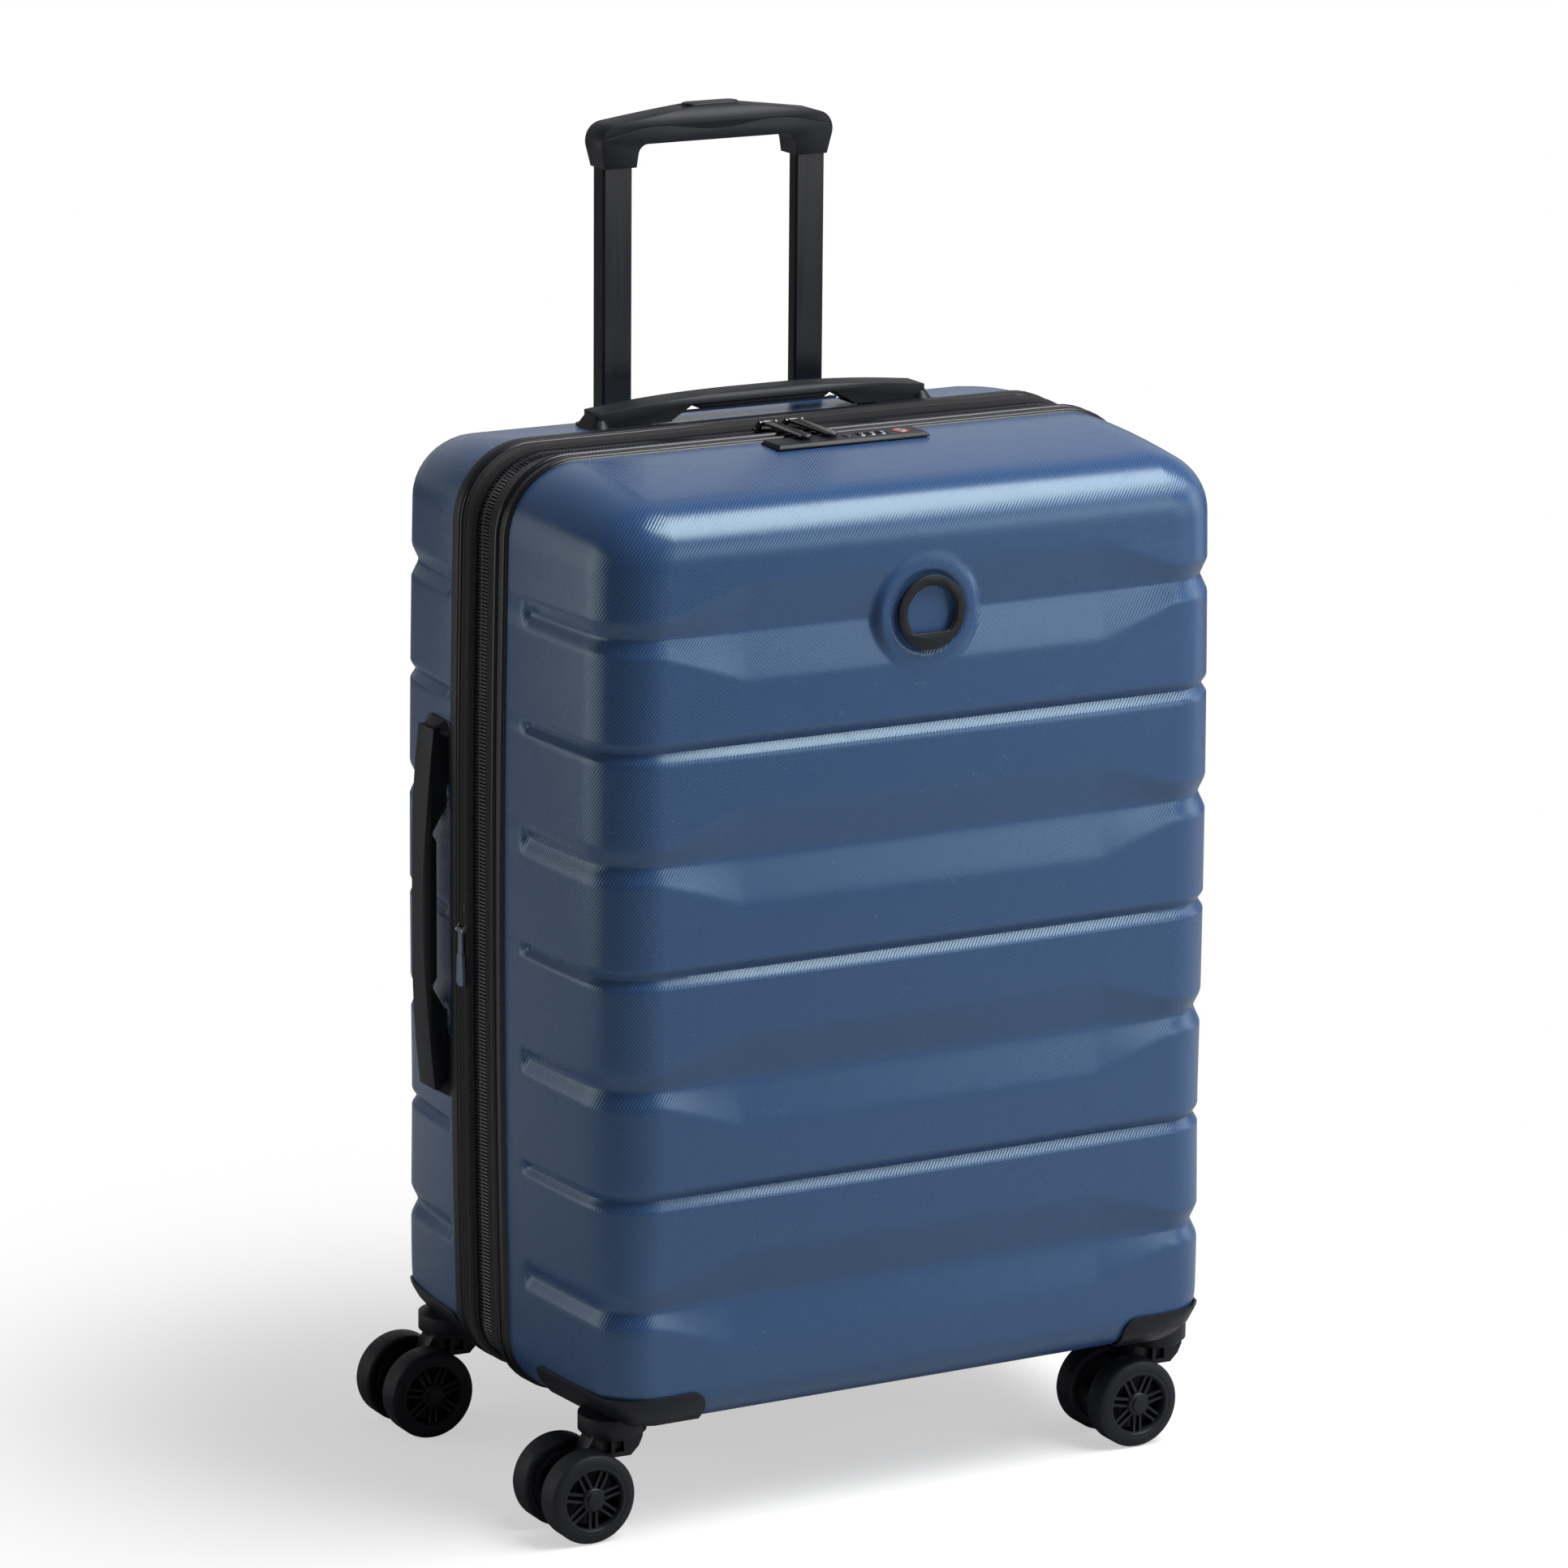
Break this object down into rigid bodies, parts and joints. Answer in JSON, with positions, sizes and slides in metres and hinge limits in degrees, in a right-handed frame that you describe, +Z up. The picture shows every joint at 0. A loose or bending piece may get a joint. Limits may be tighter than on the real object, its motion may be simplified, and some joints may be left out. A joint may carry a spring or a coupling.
{
  "type": "hard shell suitcase",
  "caption": "Hard shell spinner suitcase with sculpted ribbed halves, zip band, combination lock, carry handles, trolley and swivel casters.",
  "frame": {"origin": "on the floor, below the middle of the case", "axes": "+X to the right, front panel towards -Y, +Z up"},
  "size_m": [0.4908, 0.3161, 0.8657],
  "materials": {
    "shell": "moulded sheet with fine diagonal ribs",
    "plastic": "satin black",
    "fabric": "woven black",
    "zip": "black coil",
    "binding": "smooth black",
    "lining": "light woven lining",
    "webbing": "woven strap",
    "soft_grip": "matt black",
    "tube": "glossy black",
    "slider": "gunmetal",
    "expansion_slider": "pale nickel",
    "expansion_tab": "grey blue",
    "dial": "dark with pale numerals",
    "key": "red ring",
    "caster": "satin black",
    "axle": "plain",
    "wheel": "satin black",
    "tyre": "smooth"
  },
  "bodies": {
    "back_half": {"back_shell": "shell", "back_edge": "plastic", "gusset": "fabric", "expansion_coil": "zip", "back_coil": "zip", "hinge_tape": "fabric", "back_lining": "lining", "packing_straps": "webbing", "strap_buckle": "plastic", "rear_corner_guards": "plastic", "trolley_cup": "plastic", "outer_tubes": "tube", "tube_bracket": "plastic", "top_handle_feet": "plastic", "side_handle_feet": "plastic"},
    "lid": {"front_shell": "shell", "front_binding": "binding", "front_tape": "fabric", "front_coil": "zip", "front_lining": "lining", "front_corner_guards": "plastic", "badge_ring": "plastic", "lock_plate": "plastic", "lock_body": "plastic"},
    "middle_stage": {"middle_tubes": "tube"},
    "inner_stage": {"inner_tubes": "tube", "grip_base": "plastic", "grip_cover": "plastic"},
    "release_button": {"release_button": "plastic"},
    "top_handle": {"top_handle": "plastic", "top_handle_grip": "soft_grip"},
    "side_handle": {"side_handle": "plastic", "side_handle_grip": "soft_grip"},
    "expansion_slider": {"expansion_slider": "expansion_slider"},
    "expansion_tab": {"expansion_tab": "expansion_tab"},
    "left_slider": {"left_slider": "slider"},
    "left_tab": {"left_tab": "slider"},
    "right_slider": {"right_slider": "slider"},
    "right_tab": {"right_tab": "slider"},
    "dial_1": {"dial_1": "dial"},
    "dial_2": {"dial_2": "dial"},
    "dial_3": {"dial_3": "dial"},
    "lock_button": {"lock_button": "plastic"},
    "key_cylinder": {"key_cylinder": "key"},
    "front_left_caster": {"front_left_fork": "caster", "front_left_axle": "axle"},
    "front_left_wheelset": {"front_left_wheels": "wheel", "front_left_tyres": "tyre"},
    "front_right_caster": {"front_right_fork": "caster", "front_right_axle": "axle"},
    "front_right_wheelset": {"front_right_wheels": "wheel", "front_right_tyres": "tyre"},
    "rear_left_caster": {"rear_left_fork": "caster", "rear_left_axle": "axle"},
    "rear_left_wheelset": {"rear_left_wheels": "wheel", "rear_left_tyres": "tyre"},
    "rear_right_caster": {"rear_right_fork": "caster", "rear_right_axle": "axle"},
    "rear_right_wheelset": {"rear_right_wheels": "wheel", "rear_right_tyres": "tyre"}
  },
  "joints": [
    {"name": "lid_hinge", "type": "hinge", "parent": "back_half", "child": "lid", "pos_m": [0.2327, 0.0175, 0.367], "axis": [0, 0, 1], "range_deg": [0, 150]},
    {"name": "middle_stage_slide", "type": "slide", "parent": "back_half", "child": "middle_stage", "axis": [0, 0, 1], "range_m": [0, 0.175]},
    {"name": "inner_stage_slide", "type": "slide", "parent": "middle_stage", "child": "inner_stage", "axis": [0, 0, 1], "range_m": [-0.175, 0]},
    {"name": "release_button_press", "type": "slide", "parent": "inner_stage", "child": "release_button", "axis": [0, 0, -1], "range_m": [0, 0.004], "stiffness_N_per_m": 600, "springref_m": -0.001},
    {"name": "top_handle_lift", "type": "slide", "parent": "back_half", "child": "top_handle", "axis": [0, 0, 1], "range_m": [0, 0.008], "stiffness_N_per_m": 150, "springref_m": -0.004},
    {"name": "side_handle_lift", "type": "slide", "parent": "back_half", "child": "side_handle", "axis": [-1, 0, 0], "range_m": [0, 0.008], "stiffness_N_per_m": 150, "springref_m": -0.004},
    {"name": "expansion_slider_run", "type": "slide", "parent": "back_half", "child": "expansion_slider", "axis": [0, 0, 1], "range_m": [0, 0.18]},
    {"name": "expansion_tab_flip", "type": "hinge", "parent": "expansion_slider", "child": "expansion_tab", "pos_m": [-0.2334, 0.03475, 0.36], "axis": [0, 1, 0], "range_deg": [0, 150]},
    {"name": "left_slider_run", "type": "slide", "parent": "back_half", "child": "left_slider", "axis": [-1, 0, 0], "range_m": [0, 0.12]},
    {"name": "left_tab_flip", "type": "hinge", "parent": "left_slider", "child": "left_tab", "pos_m": [-0.024, 0.0125, 0.67646], "axis": [-1, 0, 0], "range_deg": [0, 150]},
    {"name": "right_slider_run", "type": "slide", "parent": "back_half", "child": "right_slider", "axis": [1, 0, 0], "range_m": [0, 0.12]},
    {"name": "right_tab_flip", "type": "hinge", "parent": "right_slider", "child": "right_tab", "pos_m": [-0.005, 0.0125, 0.67646], "axis": [-1, 0, 0], "range_deg": [0, 150]},
    {"name": "dial_1_turn", "type": "hinge", "parent": "lid", "child": "dial_1", "pos_m": [0.016, -0.0385, 0.6686], "axis": [1, 0, 0], "continuous": true},
    {"name": "dial_2_turn", "type": "hinge", "parent": "lid", "child": "dial_2", "pos_m": [0.0235, -0.0385, 0.6686], "axis": [1, 0, 0], "continuous": true},
    {"name": "dial_3_turn", "type": "hinge", "parent": "lid", "child": "dial_3", "pos_m": [0.031, -0.0385, 0.6686], "axis": [1, 0, 0], "continuous": true},
    {"name": "lock_button_press", "type": "slide", "parent": "lid", "child": "lock_button", "axis": [0, 0, -1], "range_m": [0, 0.002], "stiffness_N_per_m": 400, "springref_m": -0.001},
    {"name": "key_turn", "type": "hinge", "parent": "lid", "child": "key_cylinder", "pos_m": [0.045, -0.0385, 0.6744], "axis": [0, 0, -1], "range_deg": [0, 90]},
    {"name": "front_left_swivel", "type": "hinge", "parent": "lid", "child": "front_left_caster", "pos_m": [-0.2015, -0.115, 0.06], "axis": [0, 0, 1], "continuous": true},
    {"name": "front_left_roll", "type": "hinge", "parent": "front_left_caster", "child": "front_left_wheelset", "pos_m": [-0.229, -0.115, 0.0295], "axis": [0, 1, 0], "continuous": true},
    {"name": "front_right_swivel", "type": "hinge", "parent": "lid", "child": "front_right_caster", "pos_m": [0.2015, -0.115, 0.06], "axis": [0, 0, 1], "continuous": true},
    {"name": "front_right_roll", "type": "hinge", "parent": "front_right_caster", "child": "front_right_wheelset", "pos_m": [0.174, -0.115, 0.0295], "axis": [0, 1, 0], "continuous": true},
    {"name": "rear_left_swivel", "type": "hinge", "parent": "back_half", "child": "rear_left_caster", "pos_m": [-0.2015, 0.115, 0.06], "axis": [0, 0, 1], "continuous": true},
    {"name": "rear_left_roll", "type": "hinge", "parent": "rear_left_caster", "child": "rear_left_wheelset", "pos_m": [-0.229, 0.115, 0.0295], "axis": [0, 1, 0], "continuous": true},
    {"name": "rear_right_swivel", "type": "hinge", "parent": "back_half", "child": "rear_right_caster", "pos_m": [0.2015, 0.115, 0.06], "axis": [0, 0, 1], "continuous": true},
    {"name": "rear_right_roll", "type": "hinge", "parent": "rear_right_caster", "child": "rear_right_wheelset", "pos_m": [0.174, 0.115, 0.0295], "axis": [0, 1, 0], "continuous": true}
  ]
}
